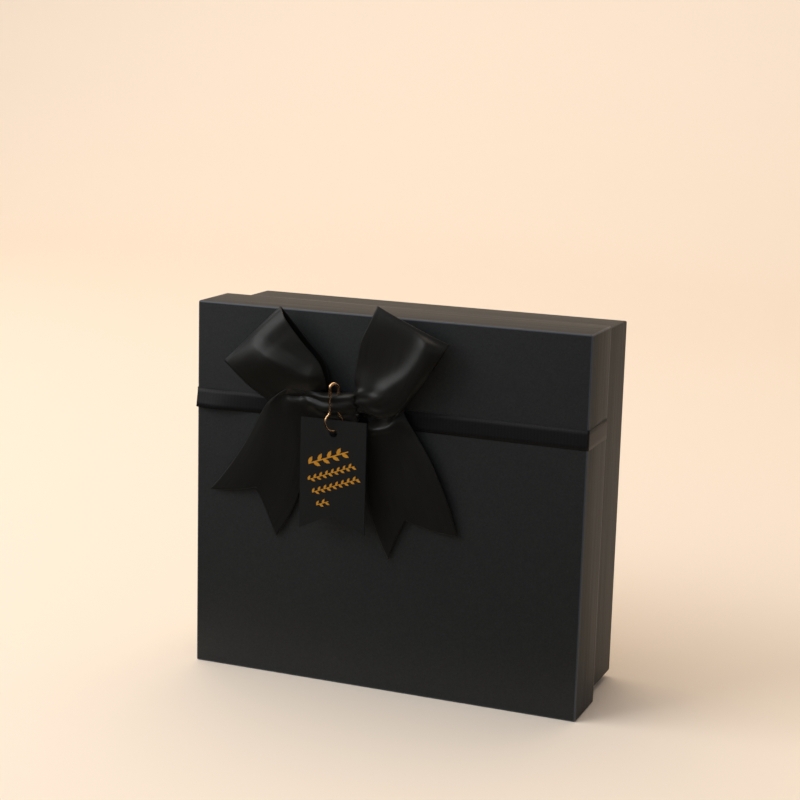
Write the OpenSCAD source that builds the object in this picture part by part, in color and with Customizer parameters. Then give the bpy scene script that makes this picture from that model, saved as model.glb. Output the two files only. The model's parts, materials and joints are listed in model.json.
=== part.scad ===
// Rigid lid-and-base gift box, standing on its long side with the lid to the front (-Y).
// A narrow ribbon band crosses the lid and carries a satin bow. A pear pin through the
// knot holds a swing tag. Origin: centre of the lid's skirt face on the surface it stands on.

/* [Box] */
// Width of the lid, side to side
lid_w = 200; // [150:1:320]
// Height of the lid as the box stands
lid_h = 184; // [150:1:320]
// Depth of the lid's skirt, front face to rim
lid_d = 30; // [22:1:45]
// Overall depth, lid front to base back
box_d = 70; // [56:1:140]
// Greyboard thickness in the lid
lid_board_t = 2; // [1:0.1:3]
// Greyboard thickness in the base
base_board_t = 1.5; // [1:0.1:3]
// Wrap paper thickness, glue included
paper_t = 0.3; // [0.15:0.05:0.5]
// Lining sheet thickness, glue included
liner_t = 0.3; // [0.15:0.05:0.5]
// Width of wrap paper turned in over each rim
turn_in = 15; // [8:1:20]
// Free gap between the lid's walls and the base's walls, on each side
lid_play = 0.6; // [0.5:0.1:2]
// Gap between the base's rim and the lid's lining when shut
rim_gap = 0.3; // [0.1:0.1:2]
// Leg width of the paper stays that tape the board corners
stay_leg = 12; // [6:1:20]
// Thickness of the corner stays, pressed into the board
stay_t = 0.15; // [0.1:0.05:0.3]

/* [Ribbon band] */
// Width of the band across the lid
band_w = 9.5; // [6:0.5:15]
// Thickness of the band
band_t = 0.3; // [0.2:0.05:0.35]
// Distance from the lid's top edge down to the band's centre line
band_drop = 48.3; // [40:0.1:90]
// Length of band tucked in and glued behind each rim
band_tuck = 12; // [5:1:18]

/* [Bow] */
// Width of the satin ribbon that the bow is tied from
ribbon_w = 40; // [25:1:50]
// Thickness of the satin ribbon
ribbon_t = 0.4; // [0.2:0.05:0.6]
// Sideways place of the knot, from the box's centre plane
knot_x = -24; // [-30:1:30]
// Height of the knot's centre above the band's centre line
knot_rise = 7.2; // [0:0.1:15]
// Length of the knot across the bow
knot_l = 30; // [24:1:40]
// Height of the knot
knot_h = 6.4; // [5:0.1:9]
// How far the knot's middle stands out from the ribbon behind it
knot_d = 10.7; // [9.5:0.1:14]
// How far the knot's ends stand out from the ribbon behind it
knot_end_d = 6.3; // [4:0.1:8]
// Slope of the knot, falling to the right
knot_tilt = 6; // [0:1:10]
// Radius of the glue spot between knot and band
glue_r = 4; // [2:0.5:5]
// Reach of the left loop from the knot's end to its fold
left_loop_l = 36.5; // [25:0.5:50]
// Reach of the right loop from the knot's end to its fold
right_loop_l = 45; // [25:0.5:55]
// Depth of a loop at its fullest
loop_d = 17; // [12:0.5:24]
// Length of the left tail
left_tail_l = 75.5; // [50:0.5:90]
// Length of the right tail
right_tail_l = 77; // [50:0.5:90]
// Depth of the swallow-tail cut
tail_notch = 17; // [8:1:24]

/* [Pin] */
// Wire diameter
wire_d = 0.9; // [0.7:0.05:1.1]
// Distance between the two legs
leg_gap = 4.2; // [3.8:0.1:5]
// Width of the round end of the pin, over the wire
bulb_w = 9.4; // [8:0.1:12]
// Radius of the shoulders between legs and round end
shoulder_r = 3.6; // [2:0.1:5]
// Outer diameter of the cap's pinched tube
cap_d = 1.5; // [1.4:0.05:1.9]
// Height of the cap
cap_h = 6.6; // [5:0.1:9]
// Angle by which the pin's plane is turned out from the lid's face
pin_turn = 44; // [35:1:55]
// Radial clearance of the pin's leg in the hole it pierces through the knot
pierce_clear = 0.08; // [0.02:0.01:0.1]
// Gap between the knot and the pin's cap and shoulders, along the leg
pin_slack = 0.3; // [0.2:0.05:0.6]

/* [Tag] */
// Width of the tag
tag_w = 34; // [24:1:40]
// Length of the tag, with its points
tag_l = 54.5; // [40:0.5:70]
// Thickness of the card
tag_t = 0.5; // [0.3:0.05:0.6]
// Depth of the V cut in the lower edge
tag_notch = 8; // [4:0.5:14]
// Radius of the punched hole
tag_hole_r = 2; // [1.7:0.1:2.5]
// Distance from the top edge to the hole's centre
tag_hole_drop = 6.5; // [4:0.5:10]
// Gap left above the wire in the hole
hang_gap = 0.25; // [0.1:0.05:0.5]
// Length of the upper, larger row of foil leaves
foil_row_l = 24; // [16:1:26]
// Slope of the foil rows, rising to the right
foil_slope = 21; // [10:1:25]

/* [Hidden] */
$fn = 64;

// Box: the base fits inside the lid and ends at the overall depth
lid_wall = paper_t + lid_board_t + paper_t;
inset = lid_wall + lid_play;
base_w = lid_w - 2 * inset;
base_h = lid_h - 2 * inset;
base_d = box_d - (paper_t + lid_board_t + liner_t) - rim_gap;
front_y = -lid_d / 2;
rim_y = lid_d / 2;
back_y = front_y + box_d;
mid_z = lid_h / 2;
// Hairline that parts the wrap's panels at its folds
fold_slit = 0.02;
// How far a cutting shape runs past what it cuts
past = 1;

// Bow: places are measured from the knot's centre, outwards from the ribbon behind it
band_z = lid_h - band_drop;
knot_z = band_z + knot_rise;
tail_y = front_y - band_t;
knot_back_y = tail_y - ribbon_t;
tail_pinch = 12;
tail_spread = 45;
left_tail_turn = 29;
right_tail_turn = -26;
left_loop_turn = 137;
right_loop_turn = 57;
loop_root_r = 3;
loop_fold_r = 4;
loop_belly = 0.45;
loop_fn = 32;
knot_edge_r = 1.4;

// Pin: the back leg pierces the knot upright, and the pin turns about it
wire_r = wire_d / 2;
bulb_r = bulb_w / 2 - wire_r;
pin_x = knot_x + 4;
pin_y = knot_back_y - knot_d + 1.4;
pin_fall = (pin_x - knot_x) * tan(knot_tilt);
leg_top_z = knot_z + knot_h / 2 - pin_fall + knot_edge_r * sin(knot_tilt) + pin_slack;
leg_low_z = knot_z - knot_h / 2 - pin_fall - pin_slack;
shoulder_run = leg_gap / 2 + shoulder_r;
shoulder_drop = sqrt(pow(bulb_r + shoulder_r, 2) - pow(shoulder_run, 2));
shoulder_sweep = atan2(shoulder_drop, shoulder_run);
bulb_z = leg_low_z - shoulder_drop;
pin_low_z = bulb_z - bulb_r;
cap_socket = 2;
// How far the wire swells where a bend runs into the next stretch, which fuses the two
bend_swell = 0.01;

// Tag: its hole hangs on the lowest point of the pin
tag_x = pin_x - leg_gap / 2 * cos(pin_turn);
tag_y = pin_y - leg_gap / 2 * sin(pin_turn);
tag_hole_z = pin_low_z - (tag_hole_r - wire_r - hang_gap);
tag_top_z = tag_hole_z + tag_hole_drop;
foil_t = 0.05;

// Box between two opposite corners
module block(low, high) {
    translate(low) cube(high - low);
}

// Rectangular ring with its hole along Y
module ring(out_w, out_h, in_w, in_h, y0, y1) {
    difference() {
        block([-out_w / 2, y0, -out_h / 2], [out_w / 2, y1, out_h / 2]);
        block([-in_w / 2, y0 - past, -in_h / 2], [in_w / 2, y1 + past, in_h / 2]);
    }
}

// Each tray has its panel at y = 0 and opens towards +Y, centred on X and Z.

// Four L-shaped stays; over makes the oversize copy that cuts their recess
module corner_stays(w, h, d, board, over = 0) {
    x = w / 2 - paper_t;
    z = h / 2 - paper_t;
    y0 = paper_t + board - over;
    y1 = d - paper_t + over;
    for (mx = [0, 1], mz = [0, 1]) {
        mirror([mx, 0, 0]) mirror([0, 0, mz]) difference() {
            block([x - stay_leg, y0, z - stay_leg], [x + over, y1, z + over]);
            block([x - stay_leg - past, y0 - past, z - stay_leg - past],
                [x - stay_t, y1 + past, z - stay_t]);
        }
    }
}

module panel_board(w, h, board) {
    block([-w / 2 + paper_t, paper_t, -h / 2 + paper_t],
        [w / 2 - paper_t, paper_t + board, h / 2 - paper_t]);
}

// Long wall along the top edge, between the stays' recesses
module top_wall_board(w, h, d, board) {
    difference() {
        block([-w / 2 + paper_t, paper_t + board, h / 2 - paper_t - board],
            [w / 2 - paper_t, d - paper_t, h / 2 - paper_t]);
        corner_stays(w, h, d, board, past);
    }
}

// Side wall, butted between the top and bottom walls
module right_wall_board(w, h, d, board) {
    side_h = h / 2 - paper_t - board;
    difference() {
        block([w / 2 - paper_t - board, paper_t + board, -side_h], [w / 2 - paper_t, d - paper_t, side_h]);
        corner_stays(w, h, d, board, past);
    }
}

// Wrap paper on the panel and on the four walls, parted by a hairline at each fold
module wrap_paper(w, h, d) {
    block([-w / 2, 0, -h / 2], [w / 2, paper_t, h / 2]);
    for (m = [0, 1]) {
        mirror([0, 0, m])
            block([-w / 2, paper_t + fold_slit, h / 2 - paper_t], [w / 2, d, h / 2]);
        mirror([m, 0, 0])
            block([w / 2 - paper_t, paper_t + fold_slit, -h / 2 + paper_t + fold_slit],
                [w / 2, d, h / 2 - paper_t - fold_slit]);
    }
}

// Wrap paper turned over the rim and down the inside of the walls
module turn_in_paper(w, h, d, board) {
    out = 2 * paper_t;
    mid = 2 * (paper_t + board);
    in = 2 * (paper_t + board + paper_t);
    ring(w - out, h - out, w - in, h - in, d - paper_t, d);
    ring(w - mid, h - mid, w - in, h - in, d - turn_in, d);
}

// Lid: the tray as it is. Base: the tray turned to open towards the front.
module lid_place() {
    translate([0, front_y, mid_z]) children();
}

module base_place() {
    translate([0, back_y, mid_z]) mirror([0, 1, 0]) children();
}

module lid_panel_board() {
    color([0.55, 0.52, 0.47]) lid_place() panel_board(lid_w, lid_h, lid_board_t);
}

module lid_top_wall_board() {
    color([0.55, 0.52, 0.47]) lid_place() top_wall_board(lid_w, lid_h, lid_d, lid_board_t);
}

module lid_bottom_wall_board() {
    color([0.55, 0.52, 0.47]) lid_place() mirror([0, 0, 1]) top_wall_board(lid_w, lid_h, lid_d, lid_board_t);
}

module lid_left_wall_board() {
    color([0.55, 0.52, 0.47]) lid_place() mirror([1, 0, 0]) right_wall_board(lid_w, lid_h, lid_d, lid_board_t);
}

module lid_right_wall_board() {
    color([0.55, 0.52, 0.47]) lid_place() right_wall_board(lid_w, lid_h, lid_d, lid_board_t);
}

module lid_corner_stays() {
    color([0.72, 0.6, 0.42]) lid_place() corner_stays(lid_w, lid_h, lid_d, lid_board_t);
}

module lid_wrap_paper() {
    color([0.03, 0.03, 0.035]) lid_place() wrap_paper(lid_w, lid_h, lid_d);
}

module lid_turn_in_paper() {
    color([0.03, 0.03, 0.035]) lid_place() turn_in_paper(lid_w, lid_h, lid_d, lid_board_t);
}

// Sheet glued inside the lid's panel
module lid_lining() {
    x = lid_w / 2 - paper_t - lid_board_t;
    z = lid_h / 2 - paper_t - lid_board_t;
    y = paper_t + lid_board_t;
    color([0.05, 0.05, 0.05]) lid_place() block([-x, y, -z], [x, y + liner_t, z]);
}

module base_panel_board() {
    color([0.55, 0.52, 0.47]) base_place() panel_board(base_w, base_h, base_board_t);
}

module base_top_wall_board() {
    color([0.55, 0.52, 0.47]) base_place() top_wall_board(base_w, base_h, base_d, base_board_t);
}

module base_bottom_wall_board() {
    color([0.55, 0.52, 0.47]) base_place() mirror([0, 0, 1])
        top_wall_board(base_w, base_h, base_d, base_board_t);
}

module base_left_wall_board() {
    color([0.55, 0.52, 0.47]) base_place() mirror([1, 0, 0])
        right_wall_board(base_w, base_h, base_d, base_board_t);
}

module base_right_wall_board() {
    color([0.55, 0.52, 0.47]) base_place() right_wall_board(base_w, base_h, base_d, base_board_t);
}

module base_corner_stays() {
    color([0.72, 0.6, 0.42]) base_place() corner_stays(base_w, base_h, base_d, base_board_t);
}

module base_wrap_paper() {
    color([0.03, 0.03, 0.035]) base_place() wrap_paper(base_w, base_h, base_d);
}

module base_turn_in_paper() {
    color([0.03, 0.03, 0.035]) base_place() turn_in_paper(base_w, base_h, base_d, base_board_t);
}

// Lining on the base's floor and walls, up to the turned-in paper
module base_lining() {
    x = base_w / 2 - paper_t - base_board_t;
    z = base_h / 2 - paper_t - base_board_t;
    y = paper_t + base_board_t;
    color([0.05, 0.05, 0.05]) base_place() difference() {
        block([-x, y, -z], [x, base_d - turn_in, z]);
        block([-x + liner_t, y + liner_t, -z + liner_t], [x - liner_t, base_d, z - liner_t]);
    }
}

// Band across the front and both sides, over the rims, tucked in behind them
module band_ribbon() {
    z0 = band_z - band_w / 2;
    z1 = band_z + band_w / 2;
    x = lid_w / 2;
    inner_x = x - lid_wall;
    color([0.05, 0.05, 0.05]) union() {
        block([-x - band_t, front_y - band_t, z0], [x + band_t, front_y, z1]);
        for (m = [0, 1]) mirror([m, 0, 0]) {
            block([x, front_y - band_t, z0], [x + band_t, rim_y + band_t, z1]);
            block([inner_x - band_t, rim_y, z0], [x + band_t, rim_y + band_t, z1]);
            block([inner_x - band_t, rim_y - band_tuck, z0], [inner_x, rim_y + band_t, z1]);
        }
    }
}

// Spot of glue between the band and the back of the knot
module bow_glue_spot() {
    color([0.8, 0.75, 0.6]) translate([knot_x, tail_y, knot_z])
        rotate([90, 0, 0]) cylinder(r = glue_r, h = ribbon_t);
}

// Flat tail that widens from the knot and ends in a swallow-tail cut
module bow_tail(reach, turn) {
    half = ribbon_w / 2;
    color([0.02, 0.02, 0.02]) translate([0, tail_y, 0]) rotate([90, turn, 0])
        linear_extrude(ribbon_t) polygon([
            [-tail_pinch / 2, 0], [-half, -tail_spread], [-half, -reach],
            [0, tail_notch - reach],
            [half, -reach], [half, -tail_spread], [tail_pinch / 2, 0]
        ]);
}

module bow_left_tail() {
    translate([knot_x - knot_l * 0.4, 0, knot_z + knot_h / 2]) bow_tail(left_tail_l, left_tail_turn);
}

module bow_right_tail() {
    translate([knot_x + knot_l * 0.4, 0, knot_z]) bow_tail(right_tail_l, right_tail_turn);
}

// Bar across a loop, at a distance along it and standing out from the ribbon behind
module loop_bar(along, out, r, width) {
    translate([along, -out, -width / 2]) cylinder(r = r, h = width, $fn = loop_fn);
}

// Puffed loop from the knot's end to its fold, cut square where it enters the knot
module bow_loop(side, reach, turn) {
    belly_r = loop_d / 2;
    color([0.02, 0.02, 0.02]) translate([knot_x, knot_back_y, knot_z]) difference() {
        translate([side * knot_l / 2, 0, -side * knot_l / 2 * sin(knot_tilt)]) rotate([0, -turn, 0]) hull() {
            loop_bar(0, loop_root_r + pin_slack, loop_root_r, knot_h);
            loop_bar(reach * loop_belly, belly_r + pin_slack, belly_r, ribbon_w * 0.75);
            loop_bar(reach - loop_fold_r, belly_r, loop_fold_r, ribbon_w);
        }
        rotate([0, knot_tilt, 0])
            block([-knot_l / 2 - fold_slit, -lid_w, -lid_h], [knot_l / 2 + fold_slit, lid_w, lid_h]);
    }
}

module bow_left_loop() {
    bow_loop(-1, left_loop_l, left_loop_turn);
}

module bow_right_loop() {
    bow_loop(1, right_loop_l, right_loop_turn);
}

// Rod along Z of the knot's section, used at its ends and middle
module knot_rod(x, depth) {
    for (y = [-knot_edge_r, knot_edge_r - depth])
        translate([x, y, -knot_h / 2]) cylinder(r = knot_edge_r, h = knot_h, $fn = loop_fn);
}

// Knot crowned towards the front, pierced upright by the pin's back leg
module bow_knot() {
    end_x = knot_l / 2 - knot_edge_r;
    mid_x = 3;
    color([0.02, 0.02, 0.02]) difference() {
        translate([knot_x, knot_back_y, knot_z]) rotate([0, knot_tilt, 0]) hull() {
            knot_rod(-end_x, knot_end_d);
            knot_rod(-mid_x, knot_d);
            knot_rod(mid_x, knot_d);
            knot_rod(end_x, knot_end_d);
        }
        translate([pin_x, pin_y, knot_z - knot_h]) cylinder(r = wire_r + pierce_clear, h = 2 * knot_h);
    }
}

// Puts a shape drawn in the pin's own plane (X across the legs, Z up) in its place
module pin_place() {
    translate([pin_x, pin_y, 0]) rotate([0, 0, 180 + pin_turn]) children();
}

// Arc of round bar in the XZ plane about a centre, from one angle through a sweep
module bar_arc(centre, r, bar_r, from, sweep) {
    translate(centre) rotate([90, 0, 0]) rotate([0, 0, from])
        rotate_extrude(angle = sweep) translate([r, 0]) circle(r = bar_r, $fn = 32);
}

module wire_bend(x, z) {
    translate([x, 0, z]) sphere(r = wire_r + bend_swell, $fn = 32);
}

// One wire: two legs, two shoulders and the round end
module pin_wire() {
    color([0.72, 0.4, 0.24]) pin_place() {
        for (x = [0, leg_gap])
            translate([x, 0, leg_low_z])
                cylinder(r = wire_r, h = leg_top_z + cap_socket - leg_low_z, $fn = 32);
        bar_arc([-shoulder_r, 0, leg_low_z], shoulder_r, wire_r, -shoulder_sweep, shoulder_sweep);
        bar_arc([leg_gap + shoulder_r, 0, leg_low_z], shoulder_r, wire_r, 180, shoulder_sweep);
        bar_arc([leg_gap / 2, 0, bulb_z], bulb_r, wire_r, 180 - shoulder_sweep, 180 + 2 * shoulder_sweep);
        for (side = [-1, 1]) {
            wire_bend(leg_gap / 2 + side * leg_gap / 2, leg_low_z);
            wire_bend(leg_gap / 2 + side * bulb_r * cos(shoulder_sweep), bulb_z + bulb_r * sin(shoulder_sweep));
        }
    }
}

// Cap pinched into a narrow arch over both ends of the wire
module pin_cap() {
    arch_r = leg_gap / 2;
    cap_r = cap_d / 2;
    arch_z = leg_top_z + cap_h - cap_r - arch_r;
    color([0.8, 0.47, 0.28]) pin_place() difference() {
        union() {
            for (x = [0, leg_gap])
                translate([x, 0, leg_top_z]) cylinder(r = cap_r, h = arch_z - leg_top_z, $fn = 32);
            bar_arc([arch_r, 0, arch_z], arch_r, cap_r, 0, 180);
        }
        for (x = [0, leg_gap])
            translate([x, 0, leg_top_z - past]) cylinder(r = wire_r, h = cap_socket + past, $fn = 32);
    }
}

// Card with a V-cut lower edge and a punched hole
module tag_card() {
    color([0.06, 0.06, 0.06]) translate([tag_x, tag_y + tag_t / 2, tag_top_z]) rotate([90, 0, 0])
        linear_extrude(tag_t) difference() {
            polygon([
                [-tag_w / 2, 0], [-tag_w / 2, -tag_l], [0, tag_notch - tag_l],
                [tag_w / 2, -tag_l], [tag_w / 2, 0]
            ]);
            translate([0, -tag_hole_drop]) circle(r = tag_hole_r);
        }
}

// Pointed leaf along X, from the stem to its tip
module leaf(size) {
    half = size * 0.2;
    polygon([
        [0, 0], [size * 0.3, -half], [size * 0.65, -half],
        [size, 0], [size * 0.65, half], [size * 0.3, half]
    ]);
}

// Stem with leaves set alternately above and below it
module leaf_row(row_l, size) {
    step = size * 0.62;
    stem_t = size * 0.14;
    translate([0, -stem_t / 2]) square([row_l - size * 0.5, stem_t]);
    for (i = [0:1:floor((row_l - size) / step)])
        translate([i * step, 0]) rotate(i % 2 == 0 ? 42 : -42) leaf(size);
}

// Gold foil ornament: a large row of leaves over three small ones, all on one slope
module tag_foil() {
    big = 4.2;
    small = 2.6;
    pitch = 6.4;
    color([0.85, 0.55, 0.12]) translate([tag_x, tag_y - tag_t / 2, tag_top_z - tag_l / 2])
        rotate([90, 0, 0]) linear_extrude(foil_t) rotate(foil_slope) {
            translate([-foil_row_l / 2 + 2, 9]) leaf_row(foil_row_l, big);
            for (i = [0, 1]) translate([-foil_row_l / 2 - 1, 1.6 - i * pitch]) leaf_row(foil_row_l + 3, small);
            translate([-foil_row_l / 2 - 1, 1.6 - 2 * pitch]) leaf_row(foil_row_l / 3, small);
        }
}

lid_panel_board();
lid_top_wall_board();
lid_bottom_wall_board();
lid_left_wall_board();
lid_right_wall_board();
lid_corner_stays();
lid_wrap_paper();
lid_turn_in_paper();
lid_lining();
base_panel_board();
base_top_wall_board();
base_bottom_wall_board();
base_left_wall_board();
base_right_wall_board();
base_corner_stays();
base_wrap_paper();
base_turn_in_paper();
base_lining();
band_ribbon();
bow_glue_spot();
bow_left_tail();
bow_right_tail();
bow_left_loop();
bow_right_loop();
bow_knot();
pin_wire();
pin_cap();
tag_card();
tag_foil();
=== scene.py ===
"""Black rigid gift box standing on its long side, with ribbon band, satin bow, pear pin and swing tag."""

import json
import math

import bmesh
import bpy
from mathutils import Matrix, Vector, noise


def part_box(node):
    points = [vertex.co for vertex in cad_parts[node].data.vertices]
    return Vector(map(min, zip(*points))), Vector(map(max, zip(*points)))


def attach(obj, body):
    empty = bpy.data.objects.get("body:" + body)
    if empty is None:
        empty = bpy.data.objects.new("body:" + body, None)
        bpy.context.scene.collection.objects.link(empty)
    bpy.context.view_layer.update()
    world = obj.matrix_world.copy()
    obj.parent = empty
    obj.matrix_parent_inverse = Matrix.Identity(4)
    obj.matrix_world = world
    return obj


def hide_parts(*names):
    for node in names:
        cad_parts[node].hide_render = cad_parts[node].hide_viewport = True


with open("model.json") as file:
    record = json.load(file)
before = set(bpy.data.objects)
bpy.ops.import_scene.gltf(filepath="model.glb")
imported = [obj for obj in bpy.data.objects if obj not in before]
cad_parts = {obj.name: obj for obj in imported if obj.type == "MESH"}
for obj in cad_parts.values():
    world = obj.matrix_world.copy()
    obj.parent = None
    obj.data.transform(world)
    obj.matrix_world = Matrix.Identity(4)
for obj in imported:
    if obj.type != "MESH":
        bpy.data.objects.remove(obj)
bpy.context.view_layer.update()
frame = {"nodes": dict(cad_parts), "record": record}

MM = 0.001

# ---------------------------------------------------------------- camera

# Turned to the side, tilted down and rolled, in radians
VIEW_TURN = -0.3789
VIEW_DOWN = 0.1975
VIEW_ROLL = 0.0272
VIEW_PLACE = Vector((0.3262, -0.8159, 0.3175))
LENS_MM = 83.94
SENSOR_MM = 36


def place_camera():
    """Puts the camera in front of the box, to its right and above it."""
    flat = math.cos(VIEW_DOWN)
    ahead = Vector((math.sin(VIEW_TURN) * flat, math.cos(VIEW_TURN) * flat, -math.sin(VIEW_DOWN)))
    right = Vector((math.cos(VIEW_TURN), -math.sin(VIEW_TURN), 0))
    up = right.cross(ahead)
    turned_right = math.cos(VIEW_ROLL) * right + math.sin(VIEW_ROLL) * up
    turned_up = -math.sin(VIEW_ROLL) * right + math.cos(VIEW_ROLL) * up
    camera = bpy.data.objects.new("camera", bpy.data.cameras.new("camera"))
    camera.data.lens = LENS_MM
    camera.data.sensor_width = SENSOR_MM
    turn = Matrix((turned_right, turned_up, -ahead)).transposed()
    camera.matrix_world = Matrix.Translation(VIEW_PLACE) @ turn.to_4x4()
    bpy.context.collection.objects.link(camera)
    bpy.context.scene.camera = camera


place_camera()

# ---------------------------------------------------------------- materials

RIBBON_UV = "ribbon_metres"


def linear(hex_colour):
    """An sRGB hex colour as linear RGBA."""
    parts = [int(hex_colour[i:i + 2], 16) / 255 for i in (1, 3, 5)]
    return tuple(c / 12.92 if c <= 0.04045 else ((c + 0.055) / 1.055) ** 2.4 for c in parts) + (1,)


def add(tree, kind, settings=None, links=None):
    """Adds a node. Settings are its properties or the values of its inputs, and links feed its inputs."""
    node = tree.nodes.new(kind)
    for name, value in (settings or {}).items():
        if isinstance(name, str) and hasattr(node, name):
            setattr(node, name, value)
        else:
            node.inputs[name].default_value = value
    for name, source in (links or {}).items():
        tree.links.new(source, node.inputs[name])
    return node


def new_material(name, **shader_values):
    """A material with its Principled shader, whose fixed numbers are set on the shader's own sockets."""
    material = bpy.data.materials.new(name)
    material.use_nodes = True
    shader = material.node_tree.nodes["Principled BSDF"]
    for socket, value in shader_values.items():
        shader.inputs[socket.replace("_", " ")].default_value = value
    return material, material.node_tree, shader


def place_on_piece(tree):
    """Where a point is on its piece, in metres."""
    return add(tree, "ShaderNodeTexCoord").outputs["Object"]


def place_on_ribbon(tree):
    """Where a point is on its ribbon, in metres across it and along it."""
    return add(tree, "ShaderNodeUVMap", {"uv_map": RIBBON_UV}).outputs["UV"]


def grains(tree, where, size_mm, detail=2.0, roughness=0.5):
    """Noise in grains of about this size."""
    values = {"Scale": 1 / (size_mm * MM), "Detail": detail, "Roughness": roughness}
    return add(tree, "ShaderNodeTexNoise", values, {"Vector": where}).outputs["Fac"]


def streaks(tree, where, per_metre):
    """Noise that is drawn out by having a different number of grains per metre along each axis."""
    stretched = add(tree, "ShaderNodeMapping", {"Scale": per_metre}, {"Vector": where})
    values = {"Scale": 1.0, "Detail": 2.0}
    return add(tree, "ShaderNodeTexNoise", values, {"Vector": stretched.outputs[0]}).outputs["Fac"]


def two_tones(tree, pattern, dark, pale, low=0.0, high=1.0):
    """Colours from dark, where the pattern is low, to pale, where it is high."""
    ramp = add(tree, "ShaderNodeValToRGB", None, {"Fac": pattern})
    for stop, position, colour in zip(ramp.color_ramp.elements, (low, high), (dark, pale)):
        stop.position = position
        stop.color = linear(colour)
    return ramp.outputs["Color"]


def spread(tree, pattern, least, most, low=0.0, high=1.0):
    """A number from least, where the pattern is low, to most, where it is high."""
    values = {"From Min": low, "From Max": high, "To Min": least, "To Max": most}
    return add(tree, "ShaderNodeMapRange", values, {"Value": pattern}).outputs["Result"]


def relief(tree, pattern, strength, depth_mm, under=None):
    """Makes the pattern stand up from the surface, on top of another relief where one is given."""
    links = {"Height": pattern}
    if under:
        links["Normal"] = under
    values = {"Strength": strength, "Distance": depth_mm * MM}
    return add(tree, "ShaderNodeBump", values, links).outputs["Normal"]


def fold_wear_and_highlight_mask(tree, where, low, high):
    """A mask that is 1 on the outer edges of a box and fades within a millimetre of them: it marks where
    handling has rubbed the paper smooth, and where a pale painted highlight is laid along the folds."""
    full_mm = 0.2
    none_mm = 1.0
    worn_from = 1.6
    centre = (low + high) / 2
    half = (high - low) / 2
    from_centre = add(tree, "ShaderNodeVectorMath", {"operation": "SUBTRACT", 1: centre}, {0: where})
    distance = add(tree, "ShaderNodeVectorMath", {"operation": "ABSOLUTE"}, {0: from_centre.outputs[0]})
    depth = add(tree, "ShaderNodeVectorMath", {"operation": "SUBTRACT", 0: half}, {1: distance.outputs[0]})
    axes = add(tree, "ShaderNodeSeparateXYZ", None, {0: depth.outputs[0]})
    near = [spread(tree, axis, 1.0, 0.0, full_mm * MM, none_mm * MM) for axis in axes.outputs]
    two = add(tree, "ShaderNodeMath", {"operation": "ADD"}, {0: near[0], 1: near[1]})
    three = add(tree, "ShaderNodeMath", {"operation": "ADD"}, {0: two.outputs[0], 1: near[2]})
    # A point that is near one face has 1, and one on an edge is near two faces
    return spread(tree, three.outputs[0], 0.0, 1.0, 1.0, worn_from)


def black_wrap_paper():
    """Uncoated art paper, dyed black and glued over board: matte, with a soft felt grain and, along the
    skirt, the fine lines of its making, which run parallel to the rim."""
    material, tree, shader = new_material("black_uncoated_wrap_paper", IOR=1.5, Specular_IOR_Level=0.3)
    where = place_on_piece(tree)
    felt_mm = 0.7
    board_waves_mm = 45
    lines_per_metre = 900.0
    lines_length_per_metre = 12.0
    burnish = -0.18
    felt = grains(tree, where, felt_mm, 3.0)
    lines = streaks(tree, where, (lines_length_per_metre, lines_per_metre, lines_length_per_metre))
    waves = grains(tree, where, board_waves_mm, 1.0)
    tone = two_tones(tree, felt, "#181A1A", "#202222", 0.35, 0.7)
    worn_and_highlit = fold_wear_and_highlight_mask(tree, where, *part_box("lid_wrap_paper"))
    # A mix node's two colours are its inputs 6 and 7, and the mixed colour is its output 2
    # Painted highlight: the folded edges get a pale bluish tone in place of the light they catch, and are
    # also made smoother
    painted_edge_highlight_tone = linear("#3A3F46")
    painted_edge_highlight = add(tree, "ShaderNodeMix", {"data_type": "RGBA", 7: painted_edge_highlight_tone}, {0: worn_and_highlit, 6: tone})
    tree.links.new(painted_edge_highlight.outputs[2], shader.inputs["Base Color"])
    rough = spread(tree, lines, 0.54, 0.66, 0.3, 0.7)
    smoother = add(tree, "ShaderNodeMath", {"operation": "MULTIPLY_ADD", 1: burnish}, {0: worn_and_highlit, 2: rough})
    tree.links.new(smoother.outputs[0], shader.inputs["Roughness"])
    soft = relief(tree, felt, 0.25, 0.05)
    lined = relief(tree, lines, 0.35, 0.06, soft)
    wavy = relief(tree, waves, 0.5, 0.12, lined)
    tree.links.new(wavy, shader.inputs["Normal"])
    return material


def black_satin():
    """Polyester satin, woven with long floats and dyed black: broad soft highlights over a nearly black
    ground, with fine threads along the ribbon that are drawn coarser than life so that they show."""
    material, tree, shader = new_material("black_polyester_satin", IOR=1.5, Specular_IOR_Level=0.26)
    thread_mm = 0.35
    floats_per_metre = 60.0
    threads = streaks(tree, place_on_ribbon(tree), (1 / (thread_mm * MM), floats_per_metre, 1.0))
    tone = two_tones(tree, threads, "#10100E", "#181815", 0.3, 0.75)
    tree.links.new(tone, shader.inputs["Base Color"])
    tree.links.new(spread(tree, threads, 0.36, 0.46, 0.3, 0.7), shader.inputs["Roughness"])
    tree.links.new(relief(tree, threads, 0.12, 0.03), shader.inputs["Normal"])
    return material


def black_grosgrain():
    """Narrow ribbed ribbon, woven with thick cords across it and dyed black: a low shine broken by fine
    crosswise ribs."""
    values = {"IOR": 1.5, "Roughness": 0.5, "Specular_IOR_Level": 0.2}
    material, tree, shader = new_material("black_ribbed_ribbon", **values)
    # Twice as coarse as life, so that they show
    rib_mm = 1.6
    # At scale 1 a wave texture repeats every tau / 20 metres
    scale = math.tau / 20 / (rib_mm * MM)
    values = {"bands_direction": "Y", "Scale": scale, "Distortion": 0.3, "Detail": 1.0}
    ribs = add(tree, "ShaderNodeTexWave", values, {"Vector": place_on_ribbon(tree)}).outputs["Fac"]
    tree.links.new(two_tones(tree, ribs, "#0F0F0F", "#141415"), shader.inputs["Base Color"])
    tree.links.new(relief(tree, ribs, 0.25, 0.08), shader.inputs["Normal"])
    return material


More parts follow.
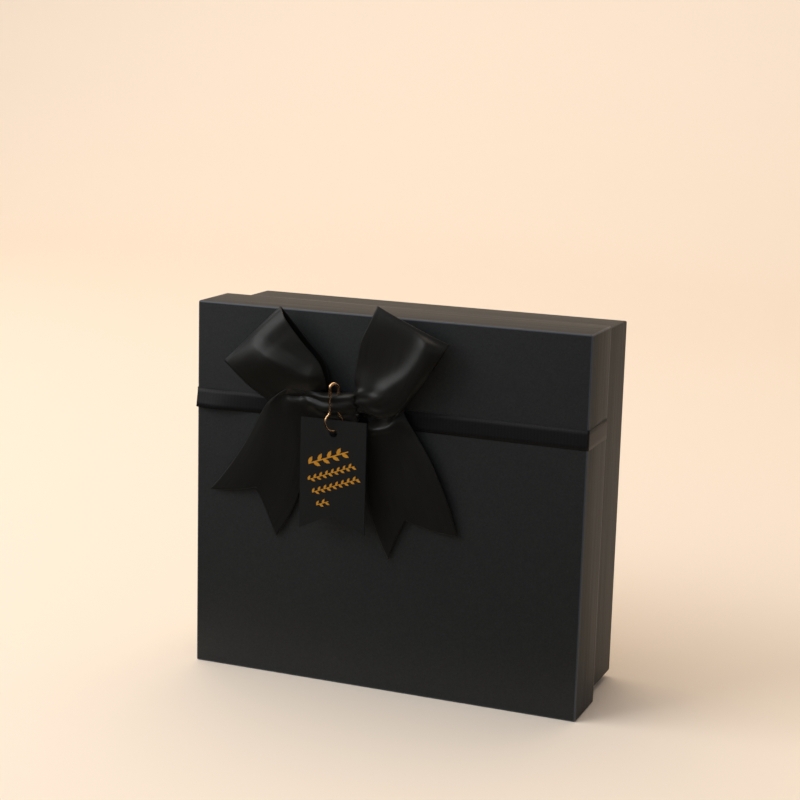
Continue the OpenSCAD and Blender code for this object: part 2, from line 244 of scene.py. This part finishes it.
def copper_plate():
    """Steel wire, drawn and copper plated: a bright warm metal with faint drawing marks."""
    material, tree, shader = new_material("copper_plated_wire", Metallic=1.0)
    marks_across = 9000.0
    marks_along = 600.0
    marks = streaks(tree, place_on_piece(tree), (marks_across, marks_across, marks_along))
    tree.links.new(two_tones(tree, marks, "#F7B878", "#FFD9AC"), shader.inputs["Base Color"])
    tree.links.new(spread(tree, marks, 0.16, 0.28), shader.inputs["Roughness"])
    return material


def gold_foil():
    """Hot-stamped foil on card: a deep orange gold, slightly broken where the card's grain shows."""
    material, tree, shader = new_material("hot_stamped_gold_foil", Metallic=0.7)
    card_grain_mm = 0.4
    card = grains(tree, place_on_piece(tree), card_grain_mm)
    tree.links.new(two_tones(tree, card, "#E8982A", "#FFC04A"), shader.inputs["Base Color"])
    tree.links.new(spread(tree, card, 0.35, 0.55), shader.inputs["Roughness"])
    return material


def fibre_sheet(name, dark, pale, fibre_mm, roughness, bump_mm, specular=0.5):
    """Paper or board of pressed fibres: two tones of one colour in short grains, and a slight tooth."""
    material, tree, shader = new_material(name, IOR=1.5, Roughness=roughness, Specular_IOR_Level=specular)
    fibres = grains(tree, place_on_piece(tree), fibre_mm, 4.0, 0.6)
    tree.links.new(two_tones(tree, fibres, dark, pale, 0.3, 0.7), shader.inputs["Base Color"])
    tree.links.new(relief(tree, fibres, 0.4, bump_mm), shader.inputs["Normal"])
    return material


def hot_glue():
    """Set hot-melt glue of the black kind: a slightly shiny plastic with fine bubbles."""
    material, tree, shader = new_material("black_hot_melt_glue", IOR=1.48, Roughness=0.3)
    bubble_mm = 0.8
    bubbles = grains(tree, place_on_piece(tree), bubble_mm)
    tree.links.new(two_tones(tree, bubbles, "#0E0E0D", "#191918"), shader.inputs["Base Color"])
    return material


FINISH = {
    "black_wrap_paper": black_wrap_paper(),
    "satin_ribbon": black_satin(),
    "band_ribbon": black_grosgrain(),
    "copper_plate": copper_plate(),
    "gold_foil": gold_foil(),
    # Greyboard is pressed from waste paper, so it is speckled and dull.
    "greyboard": fibre_sheet("pressed_greyboard", "#8A857C", "#A39D92", 1.2, 0.9, 0.06),
    # The stays are gummed brown kraft tape.
    "stay_tape": fibre_sheet("brown_kraft_tape", "#B08B5C", "#C9A677", 0.8, 0.75, 0.03),
    # The lining is the same black stock as the wrap, laid flat.
    "black_lining": fibre_sheet("black_lining_paper", "#151517", "#1E1E20", 0.8, 0.7, 0.03),
    # The tag is cut from dyed card with a faint tooth.
    "tag_card": fibre_sheet("black_tag_card", "#0F0F0E", "#151514", 0.6, 0.6, 0.03, 0.3),
    "glue": hot_glue(),
}

# ---------------------------------------------------------------- making pieces


def new_object(name, mesh, material):
    """Turns a finished bmesh into a smooth object."""
    data = bpy.data.meshes.new(name)
    mesh.to_mesh(data)
    mesh.free()
    data.polygons.foreach_set("use_smooth", [True] * len(data.polygons))
    data.materials.append(material)
    obj = bpy.data.objects.new(name, data)
    bpy.context.collection.objects.link(obj)
    return obj


def make_piece(name, mesh, body, slot, nodes):
    """Turns a finished bmesh into a piece that rides on a body and stands for CAD nodes."""
    piece = new_object(name, mesh, FINISH[slot])
    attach(piece, body)
    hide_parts(*nodes)
    return piece


def thicken(piece, thickness, offset=0.0):
    """Gives a sheet its thickness. Offset -1 keeps the outer face where it is."""
    wall = piece.modifiers.new("thickness", "SOLIDIFY")
    wall.thickness = thickness
    wall.offset = offset
    wall.use_even_offset = True


# ---------------------------------------------------------------- the two wrapped trays

FOLD_RADIUS = 0.9 * MM
FOLD_STEPS = 4
RIM_RADIUS = 0.35 * MM
RIM_STEPS = 3
TURN_IN = 15 * MM
PAPER = 0.3 * MM
SAME_PLACE = 0.01 * MM
# Radians between two faces, above which their edge is sharp
SHARP = 1.0


def wall_thickness(outer_node):
    """Board and its two papers, from the lining's edge to the wrap's outer face."""
    lining_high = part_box(outer_node.replace("wrap_paper", "lining"))[1]
    outer_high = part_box(outer_node)[1]
    return outer_high.x - lining_high.x + PAPER


def drawn_on(mesh, edges):
    """Draws faces out of open edges, and gives their new edges and points."""
    new = bmesh.ops.extrude_edge_only(mesh, edges=edges)["geom"]
    new_edges = [e for e in new if isinstance(e, bmesh.types.BMEdge) and e.is_boundary]
    return new_edges, [v for v in new if isinstance(v, bmesh.types.BMVert)]


def round_off(mesh, edges, radius, steps):
    """Rounds edges off with a bevel of this many steps."""
    bmesh.ops.bevel(mesh, geom=edges, offset=radius, segments=steps, profile=0.5, affect="EDGES",
                    material=-1)


def wrapped_tray(name, body, outer_node, inner_node, opens):
    """One sheet of wrap paper over a tray of board, folded over the rim and down inside.
    Opens is the direction along Y that the tray is open in."""
    low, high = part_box(outer_node)
    centre = (low + high) / 2
    size = high - low
    mesh = bmesh.new()
    bmesh.ops.create_cube(mesh, size=1)
    bmesh.ops.scale(mesh, vec=size, verts=mesh.verts)
    bmesh.ops.translate(mesh, vec=centre, verts=mesh.verts)
    open_face = max(mesh.faces, key=lambda f: f.calc_center_median().y * opens)
    bmesh.ops.delete(mesh, geom=[open_face], context="FACES_ONLY")
    round_off(mesh, [e for e in mesh.edges if not e.is_boundary], FOLD_RADIUS, FOLD_STEPS)
    # Over the rim
    rim_edges, rim_points = drawn_on(mesh, [e for e in mesh.edges if e.is_boundary])
    wall = wall_thickness(outer_node)
    shrink = Vector((1 - 2 * wall / size.x, 1, 1 - 2 * wall / size.z))
    bmesh.ops.scale(mesh, vec=shrink, verts=rim_points, space=Matrix.Translation(-centre))
    # Down the inside of the walls
    end_points = drawn_on(mesh, rim_edges)[1]
    bmesh.ops.translate(mesh, vec=(0, -opens * TURN_IN, 0), verts=end_points)
    rim_y = centre.y + opens * size.y / 2
    corners = [e for e in mesh.edges
               if all(abs(v.co.y - rim_y) < SAME_PLACE for v in e.verts) and len(e.link_faces) == 2
               and e.calc_face_angle(0) > SHARP]
    round_off(mesh, corners, RIM_RADIUS, RIM_STEPS)
    bmesh.ops.recalc_face_normals(mesh, faces=mesh.faces)
    outer = max(mesh.faces, key=lambda f: f.calc_area())
    if outer.normal.y * opens > 0:
        bmesh.ops.reverse_faces(mesh, faces=mesh.faces)
    piece = make_piece(name, mesh, body, "black_wrap_paper", (outer_node, inner_node))
    thicken(piece, PAPER, -1.0)


wrapped_tray("lid_wrap", "lid", "lid_wrap_paper", "lid_turn_in_paper", 1)
wrapped_tray("base_wrap", "base", "base_wrap_paper", "base_turn_in_paper", -1)

# ---------------------------------------------------------------- ribbon sheets

FRONT_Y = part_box("lid_wrap_paper")[0].y
RIBBON_MM = 40
NET_COLUMNS = 7
RIBBON_W = RIBBON_MM * MM
SATIN_T = 0.15 * MM


def on_curve(points, t):
    """The point at t, from 0 to 1, on a smooth curve through a row of points."""
    spans = len(points) - 1
    i = min(int(t * spans), spans - 1)
    f = t * spans - i
    p1, p2 = points[i], points[i + 1]
    p0 = points[i - 1] if i > 0 else 2 * p1 - p2
    p3 = points[i + 2] if i + 2 <= spans else 2 * p2 - p1
    return 0.5 * (2 * p1 + (p2 - p0) * f + (2 * p0 - 5 * p1 + 4 * p2 - p3) * f * f
                  + (3 * p1 - p0 - 3 * p2 + p3) * f ** 3)


def ribbon_sheet(name, net, long_cells, wide_cells, nodes, creases, cut=0.0, notch=0.5):
    """A ribbon through a net of points in mm: across, out from the lid's face, and up. Rows run across
    the ribbon and follow each other along it. Creases gives how far each point moves outwards. Cut is the
    depth of a swallow-tail, as a share of the length, and notch is where its point is, as a share of the
    width."""
    rows = [[Vector((x * MM, FRONT_Y - out * MM, z * MM)) for x, out, z in row] for row in net]
    columns = list(zip(*rows))
    length = sum((b - a).length for column in columns for a, b in zip(column, column[1:])) / len(columns)
    mesh = bmesh.new()
    uv_layer = mesh.loops.layers.uv.new(RIBBON_UV)
    bmesh.ops.create_grid(mesh, x_segments=wide_cells, y_segments=long_cells, size=0.5, calc_uvs=True)
    for face in mesh.faces:
        for loop in face.loops:
            loop[uv_layer].uv = ((loop.vert.co.x + 0.5) * RIBBON_W, (loop.vert.co.y + 0.5) * length)
    for vert in mesh.verts:
        u = vert.co.x + 0.5
        v = vert.co.y + 0.5
        v *= 1 - cut * min(u / notch, (1 - u) / (1 - notch))
        vert.co = on_curve([on_curve(column, v) for column in columns], u)
        vert.co.y -= creases(u, v, vert.co.x / MM, vert.co.z / MM) * MM
    bmesh.ops.recalc_face_normals(mesh, faces=mesh.faces)
    piece = make_piece(name, mesh, "lid", "satin_ribbon", nodes)
    thicken(piece, SATIN_T)
    return piece


def evenly(first, last, outs):
    """A straight row of points from first to last, each standing out by its own amount."""
    n = len(outs) - 1
    return [(first[0] + (last[0] - first[0]) * i / n, out, first[1] + (last[1] - first[1]) * i / n)
            for i, out in enumerate(outs)]


def flat_row(first, last, out):
    """A straight row of points that all stand out by the same amount."""
    return evenly(first, last, [out] * NET_COLUMNS)


# Each loop starts at the knot, goes out along its front layer, turns back at its end and comes home
# behind.
LEFT_LOOP = [
    [(-39, 5.5, 142.5), (-37, 6.8, 143.5), (-35, 7.6, 144.8), (-33, 8.2, 146), (-31, 8.6, 147),
     (-29, 8.2, 147.4), (-27.2, 7, 147.2)],
    [(-43.5, 5.8, 141.5), (-41.5, 7.6, 144.5), (-39, 9.8, 148.2), (-36, 11.2, 151.2), (-33, 12, 153.2),
     (-29.8, 12, 153.9), (-26.6, 10.5, 152.5)],
    [(-54.5, 6.6, 138.8), (-52, 8.4, 144), (-48.5, 11, 149.6), (-44, 12.6, 155), (-39, 13, 159),
     (-34, 12.8, 161.8), (-29.5, 11.6, 161)],
    [(-66.2, 8.4, 145), (-61.8, 11.2, 150.4), (-57.5, 13, 155.4), (-53, 13.6, 160), (-48.5, 13.4, 164.4),
     (-43, 13.2, 168.4), (-37.5, 12.8, 170)],
    evenly((-71.6, 149.8), (-43.6, 176.6), (9.8, 12, 13.2, 13.4, 13.2, 13, 12.6)),
    evenly((-76.2, 153.5), (-47.6, 181.1), (9.6, 11.4, 12.2, 12.4, 12.4, 12.2, 12)),
    evenly((-80.4, 156.3), (-51, 184.8), (8.2, 9, 9.4, 9.6, 9.4, 9, 8.6)),
    flat_row((-80.2, 156.6), (-51.2, 184.6), 6.5),
    flat_row((-66, 148), (-40, 170), 2.5),
    flat_row((-50, 147), (-31, 160), 2),
    flat_row((-39, 145), (-27, 147), 3),
]
RIGHT_LOOP = [
    evenly((-14, 147), (-14, 138), (8, 8.5, 8, 8.5, 8, 8.5, 8)),
    [(-11.5, 9, 150), (-9.5, 11.6, 149), (-9, 11, 146.5), (-9, 11.6, 144), (-8.5, 9.8, 142),
     (-7.5, 9.6, 140), (-6, 8.6, 138.8)],
    [(-11.8, 10.5, 155), (-5, 12, 152), (-2, 12, 148.6), (0, 13, 145.4), (1, 12.2, 142),
     (2, 11.8, 139.5), (1.5, 10, 137.2)],
    [(-10.6, 11, 162), (-4, 11.4, 160.5), (2, 11.8, 157), (7.5, 12.6, 152.5), (10.5, 12.6, 147.5),
     (12, 12, 143.8), (11.5, 10.5, 141.5)],
    [(-8.6, 11.4, 173), (-1.5, 11.7, 172), (5.5, 12, 169.5), (12, 12.6, 166), (17.5, 13.2, 161.5),
     (21, 12.8, 157.5), (23, 10.5, 156)],
    [(-3.6, 11.4, 184), (2.5, 11.8, 182.5), (8.5, 12, 180.5), (15, 12.2, 178), (21.5, 12.4, 174.8),
     (26.8, 12, 171.4), (30.8, 10.4, 168.5)],
    evenly((-1.6, 189), (33.6, 173.6), (10.4, 10.8, 11, 11, 10.8, 10.2, 9)),
    evenly((-1.7, 188.8), (33.4, 173.5), (8.6, 9, 9.2, 9.2, 9, 8.6, 7.6)),
    flat_row((-6, 172), (24, 160), 3),
    flat_row((-9, 156), (11, 146), 2.5),
    flat_row((-14, 147), (-14, 138), 3),
]
# The ribbon that makes the knot comes from behind on the right, crosses the front in folds and drops as
# the left tail.
KNOT_AND_LEFT_TAIL = [
    flat_row((-11.5, 147.5), (-11.5, 137), 6),
    [(-11, 7, 148), (-10.6, 9, 147), (-10.2, 10, 145.2), (-10.2, 9.6, 142.8), (-10, 9.6, 140),
     (-10, 9, 137.4), (-10.2, 7, 136)],
    [(-13, 8.5, 148), (-13, 10.6, 147.4), (-12.8, 12, 145.4), (-12.8, 11.8, 143), (-12.6, 10.6, 139.8),
     (-12.6, 8.2, 136), (-12.6, 5.4, 132.5)],
    [(-19, 8.5, 147.4), (-19, 10.8, 146.8), (-19, 12, 144.6), (-19, 11.8, 142.2), (-19, 10.6, 138.6),
     (-19, 6.4, 134.4), (-19, 4, 127.5)],
    [(-27, 8.5, 146.8), (-27, 10.6, 146.2), (-27, 11.4, 144.6), (-27, 10.9, 142.4), (-27, 10.8, 138.8),
     (-27, 6.2, 134), (-27, 3.8, 126)],
    [(-34, 8.5, 147.6), (-34, 10.6, 146.8), (-34, 10.6, 145.4), (-34, 9.4, 143.8), (-34, 10.2, 141),
     (-33, 6.6, 135.4), (-32, 3.8, 127)],
    [(-40, 9, 148), (-41, 10.6, 147.2), (-41, 9.6, 145.8), (-41, 8, 144), (-40.5, 9.2, 141.4),
     (-38.5, 6.8, 136.4), (-35, 4, 128)],
    [(-46.5, 9, 147.2), (-47.5, 10, 146.2), (-48, 8.6, 144.6), (-48, 8.2, 142.6), (-46, 8.4, 139.4),
     (-42.5, 6.6, 134.6), (-37.4, 4, 126.5)],
    [(-56, 7.5, 141), (-55.5, 8.4, 139.8), (-53.8, 7.6, 137.8), (-51, 7, 135.2), (-47.5, 6.4, 132),
     (-43, 5.4, 129), (-38, 4, 124.8)],
    [(-62.2, 5, 133.8), (-59.5, 5.8, 131.5), (-56, 5.8, 128.8), (-52, 5.4, 126), (-47.8, 5, 123),
     (-43.3, 4.6, 120.5), (-38.5, 3.6, 118)],
    evenly((-71.5, 117.5), (-41, 101), (3.6, 4.4, 4.4, 4, 3.8, 3.6, 3)),
    evenly((-82.5, 101.7), (-46.5, 86), (2.4, 3, 3.2, 2.8, 2.4, 2.4, 2.2)),
    evenly((-92, 90.6), (-55.3, 70.6), (1.6, 2, 2.2, 2, 1.8, 1.8, 1.6)),
]
# It comes out from under the right loop and hangs against the lid.
RIGHT_TAIL = [
    flat_row((-12, 138), (-12, 145), 3.5),
    [(-8, 2, 134), (-5, 2, 135), (-2, 2, 136.5), (1, 2, 138), (4, 2.4, 140), (6.5, 3, 142),
     (8.8, 4, 143.5)],
    [(-7, 4.5, 130.6), (-3.2, 7.4, 130.9), (0.5, 8, 131.9), (4, 8, 133), (6.6, 7.6, 135), (8.8, 6.4, 138),
     (11.4, 4.6, 139.8)],
    [(-7.3, 4.2, 127), (-3.2, 6.2, 127.4), (1, 6.6, 128.2), (5, 6.4, 129.2), (8.6, 6.2, 131),
     (11.8, 5.8, 133.4), (14.6, 4.6, 134.6)],
    [(-7.5, 3.5, 121), (-3.5, 4.5, 121.5), (0.8, 5, 122.3), (5.2, 5, 123.5), (9.7, 5, 125), (14, 5, 127),
     (18.4, 4.5, 128.8)],
    evenly((-7.5, 108), (25.6, 117.8), (2.8, 3.4, 3.6, 3.8, 4.2, 4.6, 4.5)),
    evenly((-6.5, 94), (32.9, 101.9), (2.2, 2.6, 3, 3.2, 3.4, 3.8, 3.8)),
    evenly((-2.5, 79.5), (36.5, 91.5), (1.6, 2, 2.2, 2.4, 2.6, 2.8, 2.8)),
    evenly((4.1, 66.3), (39, 82.8), (1.4, 1.6, 1.8, 1.8, 2, 2.2, 2.2)),
]


# The functions below make creases. Creases give how far a point of a ribbon moves outwards, in mm, from
# its share u of the width, its share v of the length, and its place x, z in mm.

# About how long each ribbon is, which is near enough for its waves
WAVED_MM = 90
# A fold's line is followed in this many steps
LINE_STEPS = 28
# The front layer of a loop ends at this share of its length
FRONT_END = 0.56


def soft_waves(seed, size_mm, depth_mm):
    """Slow unevenness of hand-tied satin."""
    def depth(u, v, x, z):
        place = Vector((u * RIBBON_MM / size_mm, v * WAVED_MM / size_mm, seed))
        return depth_mm * noise.noise(place)
    return depth


def up_to(v, end, softness):
    """1 before this share of the ribbon's length and 0 after it."""
    return 1 / (1 + math.exp((v - end) / softness))


def pressed_fold(under, line, height, lit, shaded, ends):
    """A soft fold on the front layer, added to the creases under it. Its line of (x, z) points runs up the
    middle of its steeper flank, which is on the left of the line's direction and catches the light. Lit
    and shaded are the widths of its two flanks. It fades out over the given lengths at its two ends."""
    corners = [Vector(place) for place in line]
    steps = [on_curve(corners, i / LINE_STEPS) for i in range(LINE_STEPS + 1)]
    whole = sum((b - a).length for a, b in zip(steps, steps[1:]))
    line_to_top = 0.7 * lit

    def depth(u, v, x, z):
        here = Vector((x, z))
        nearest = math.inf
        side = 0
        passed = 0
        reached = 0
        for a, b in zip(steps, steps[1:]):
            along = b - a
            t = (here - a).dot(along) / along.length_squared
            away = (here - a - along * max(0, min(1, t))).length
            if away < nearest:
                nearest = away
                reached = passed + along.length * t
                side = along.x * (z - a.y) - along.y * (x - a.x)
            passed += along.length
        distance = (nearest if side > 0 else -nearest) + line_to_top
        fade = 1.0
        for length, done in zip(ends, (reached, whole - reached)):
            share = max(0, min(1, done / length))
            fade *= share * share * (3 - 2 * share)
        ridge = math.exp(-(distance / (lit if distance > 0 else shaded)) ** 2)
        return under(u, v, x, z) + up_to(v, FRONT_END, 0.012) * fade * height * ridge
    return depth


left_fold_line = [(-70, 171.5), (-62.3, 168), (-53.3, 164.2), (-43.1, 160.8), (-36, 157.6), (-27, 155.6)]
left_creases = pressed_fold(soft_waves(1.7, 16, 0.3), left_fold_line, 2.6, 3.8, 9, (24, 6))

# One long fold up the right loop, then the two short ones where it leaves the knot
right_fold_line = [(-6, 148), (6.3, 155.4), (15.8, 162.8), (22.4, 175), (22, 188)]
upper_root_line = [(-11, 148), (-3, 148.8), (6, 148.6)]
lower_root_line = [(-9, 144), (-0.3, 141.9), (6, 140.4)]
right_creases = pressed_fold(soft_waves(4.1, 16, 0.3), right_fold_line, 2, 4.2, 11, (12, 16))
right_creases = pressed_fold(right_creases, upper_root_line, 0.8, 1.7, 3, (3, 9))
right_creases = pressed_fold(right_creases, lower_root_line, 1.2, 1.7, 3, (5, 8))

# A groove, because its height is negative, that runs in from where the tail turns over
groove_line = [(-51, 146), (-44, 144.8), (-34, 141.6)]
tail_groove = pressed_fold(soft_waves(8.3, 20, 0.3), groove_line, -1.5, 1.5, 3, (4, 7))


def pleats(u, count, depth_mm):
    """Even pleats across the ribbon, pressed in from its surface by up to twice this depth."""
    return depth_mm * (1 - math.cos(math.tau * count * u))


def knot_creases(u, v, x, z):
    """Pleats pressed into the ribbon: deep where it is gathered under the right loop, soft across the
    knot, and gone where the tail starts."""
    slant = 0.1 * math.sin(9 * v)
    soft = up_to(v, 0.42, 0.04) * pleats(u + slant, 3, 0.3)
    deep = up_to(v, 0.13, 0.008) * pleats(u, 5, 1.9)
    return tail_groove(u, v, x, z) - soft - deep


left_loop = ribbon_sheet("bow_left_loop_satin", LEFT_LOOP, 160, 56, ("bow_left_loop",), left_creases)
right_loop = ribbon_sheet("bow_right_loop_satin", RIGHT_LOOP, 160, 56, ("bow_right_loop",), right_creases)
knot = ribbon_sheet("bow_knot_and_left_tail_satin", KNOT_AND_LEFT_TAIL, 180, 56,
                    ("bow_knot", "bow_left_tail"), knot_creases, cut=0.084, notch=0.455)
right_tail = ribbon_sheet("bow_right_tail_satin", RIGHT_TAIL, 120, 48, ("bow_right_tail",),
                          soft_waves(11.9, 22, 0.5), cut=0.156, notch=0.42)

# ---------------------------------------------------------------- band

BAND_T = 0.3 * MM
BAND_W = 9.5 * MM
# How much lower its right end is than its left
BAND_FALL = 1 * MM
BAND_TUCK = 12 * MM
RIM_BEND = 0.45 * MM
BEND_STEPS = 6
HALF_STEPS = 24
# Its lower edge stands off the lid near the left end
PUFF_X = -90 * MM
PUFF_W = 13 * MM
PUFF_OUT = 3 * MM


def quarter_turn(x, y, radius, start):
    """Points round a quarter circle, clockwise from a start angle in degrees."""
    angles = [math.radians(start - 90 / BEND_STEPS * i) for i in range(BEND_STEPS + 1)]
    return [(x + radius * math.cos(angle), y + radius * math.sin(angle)) for angle in angles]


def band():
    """Narrow ribbed ribbon across the lid and both sides, over the rims and tucked in behind them."""
    low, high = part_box("lid_wrap_paper")
    band_low, band_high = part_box("band_ribbon")
    half = BAND_T / 2
    side_x = high.x + half
    front = low.y - half
    rim = high.y + half
    inner_x = high.x - wall_thickness("lid_wrap_paper") - half
    # From the tuck on the right side, round to the middle of the front, then the same on the left
    path = [(inner_x, high.y - BAND_TUCK)]
    path += quarter_turn(inner_x + RIM_BEND, rim - RIM_BEND, RIM_BEND, 180)
    path += quarter_turn(side_x - RIM_BEND, rim - RIM_BEND, RIM_BEND, 90)
    path += quarter_turn(side_x - FOLD_RADIUS, front + FOLD_RADIUS, FOLD_RADIUS, 0)
    path += [(side_x * (1 - i / HALF_STEPS), front) for i in range(2, HALF_STEPS)]
    path += [(0, front)] + [(-x, y) for x, y in reversed(path)]
    lengths = [0]
    for a, b in zip(path, path[1:]):
        lengths.append(lengths[-1] + math.dist(a, b))
    mesh = bmesh.new()
    uv_layer = mesh.loops.layers.uv.new(RIBBON_UV)
    rows = len(path) - 1
    bmesh.ops.create_grid(mesh, x_segments=4, y_segments=rows, size=0.5, calc_uvs=True)
    for face in mesh.faces:
        for loop in face.loops:
            row = round((loop.vert.co.y + 0.5) * rows)
            loop[uv_layer].uv = ((loop.vert.co.x + 0.5) * BAND_W, lengths[row])
    middle_z = (band_low.z + band_high.z) / 2
    for vert in mesh.verts:
        x, y = path[round((vert.co.y + 0.5) * rows)]
        side = vert.co.x
        vert.co = (x, y, middle_z + side * BAND_W - BAND_FALL / 2 * x / side_x)
        if y < front + half:
            loose = math.exp(-((x - PUFF_X) / PUFF_W) ** 2)
            vert.co.y -= loose * (0.5 - side) * PUFF_OUT
    bmesh.ops.recalc_face_normals(mesh, faces=mesh.faces)
    piece = make_piece("band_grosgrain", mesh, "lid", "band_ribbon", ("band_ribbon",))
    thicken(piece, BAND_T)
    return piece


band()

# ---------------------------------------------------------------- finishes of the CAD nodes

slots = {part["node"]: part["material_slot"] for part in frame["record"]["subparts"]}
for node, obj in frame["nodes"].items():
    for place in obj.material_slots:
        place.material = FINISH[slots[node]]

# ---------------------------------------------------------------- floor, light and surroundings


def plain_matte(name, colour):
    """One flat colour with no shine, for the surroundings."""
    return new_material(name, Base_Color=linear(colour), Roughness=1.0, Specular_IOR_Level=0.0)[0]


def seamless_sheet():
    """Pale paper floor that curves up into the backdrop."""
    mesh = bmesh.new()
    bmesh.ops.create_grid(mesh, x_segments=8, y_segments=48, size=0.5)
    front = -3.0
    back = 1.4
    radius = 0.9
    top = 4.0
    width = 9
    floor = back - front
    curve = radius * math.pi / 2
    for vert in mesh.verts:
        run = (vert.co.y + 0.5) * (floor + curve + top - radius)
        x = vert.co.x * width
        if run < floor:
            vert.co = (x, front + run, 0)
        elif run < floor + curve:
            angle = (run - floor) / radius
            vert.co = (x, back + radius * math.sin(angle), radius * (1 - math.cos(angle)))
        else:
            vert.co = (x, back + radius, radius + run - floor - curve)
    bmesh.ops.recalc_face_normals(mesh, faces=mesh.faces)
    # Coloured background paper: a plain pale cream with no pattern
    new_object("backdrop", mesh, plain_matte("cream_background_paper", "#F3E6D5"))


seamless_sheet()


def soft_light(name, place, target, size, power, colour):
    """A square softbox that points at a target."""
    lamp = bpy.data.lights.new(name, "AREA")
    lamp.shape = "SQUARE"
    lamp.size = size
    lamp.energy = power
    lamp.color = linear(colour)[:3]
    light = bpy.data.objects.new(name, lamp)
    light.location = place
    light.rotation_euler = (Vector(target) - Vector(place)).to_track_quat("-Z", "Y").to_euler()
    bpy.context.collection.objects.link(light)
    return light


soft_light("key_light", (-1.8, -1.1, 1.6), (0, 0.15, 0.1), 2.0, 43, "#FFFFFF")
soft_light("fill_light", (-0.7, 0.85, 2.8), (-0.1, 0.55, 0), 3.0, 53, "#FFEBD4")
front_light = soft_light("front_light", (-0.6, -2.4, 1.35), (0, 0, 0.1), 2.4, 24, "#E8F0FF")
front_light.visible_glossy = False

# Black flocked card drinks in almost all light
FLOCK = plain_matte("black_flock_card", "#101010")
FLAG_HEIGHT = 0.004


def black_flag(name, low, high):
    """Studio flag: a black card just over the floor, seen only by reflections, which keeps the pale floor
    out of the satin."""
    mesh = bmesh.new()
    bmesh.ops.create_grid(mesh, x_segments=1, y_segments=1, size=0.5)
    bmesh.ops.scale(mesh, vec=(high[0] - low[0], high[1] - low[1], 1), verts=mesh.verts)
    middle = ((low[0] + high[0]) / 2, (low[1] + high[1]) / 2, FLAG_HEIGHT)
    bmesh.ops.translate(mesh, vec=middle, verts=mesh.verts)
    flag = new_object(name, mesh, FLOCK)
    flag.visible_camera = False
    flag.visible_diffuse = False
    flag.visible_shadow = False
    flag.visible_transmission = False


black_flag("front_flag", (-2.0, -2.54), (1.4, -0.04))
black_flag("left_flag", (-2.0, -0.04), (-0.13, 0.6))

world = bpy.data.worlds.new("studio")
world.use_nodes = True
surround = world.node_tree.nodes["Background"]
surround.inputs["Color"].default_value = linear("#F2F5FF")
surround.inputs["Strength"].default_value = 0.25
bpy.context.scene.world = world
bpy.context.scene.view_settings.view_transform = "Standard"
